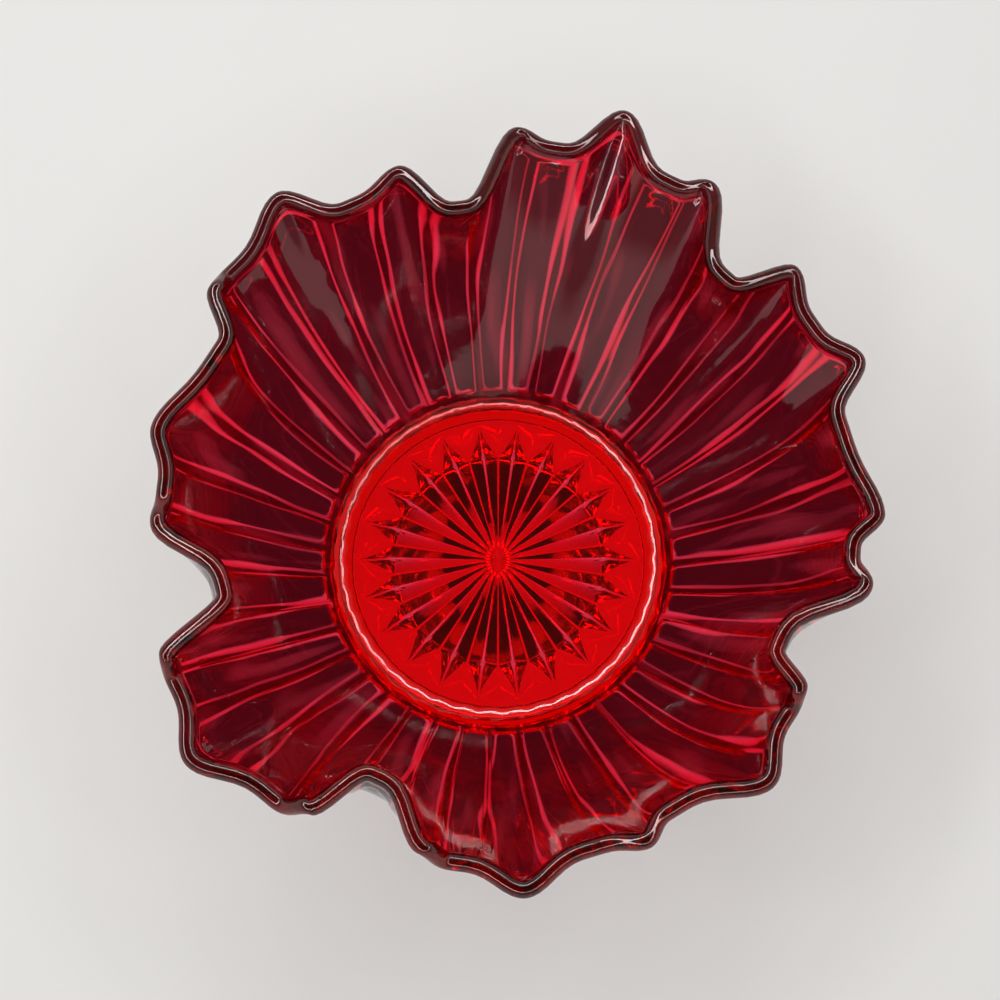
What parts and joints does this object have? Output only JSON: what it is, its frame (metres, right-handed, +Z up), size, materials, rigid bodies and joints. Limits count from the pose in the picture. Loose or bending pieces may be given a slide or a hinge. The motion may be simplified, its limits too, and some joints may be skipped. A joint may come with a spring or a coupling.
{
  "type": "handkerchief bowl",
  "caption": "Ruby pressed-glass bowl on a low foot ring, with a fluted wall and a hand-crimped wavy rim, for serving or display.",
  "frame": {"origin": "middle of the bowl's outline seen from above, on the table plane", "axes": "+Z up out of the bowl's mouth; -Y towards the side that the picture was taken from; +X to the right of it"},
  "size_m": [0.2274, 0.258, 0.0968],
  "materials": {
    "ruby_glass": "fire-polished, clear ruby all through"
  },
  "bodies": {
    "root": {"bowl": "ruby_glass"}
  },
  "joints": []
}
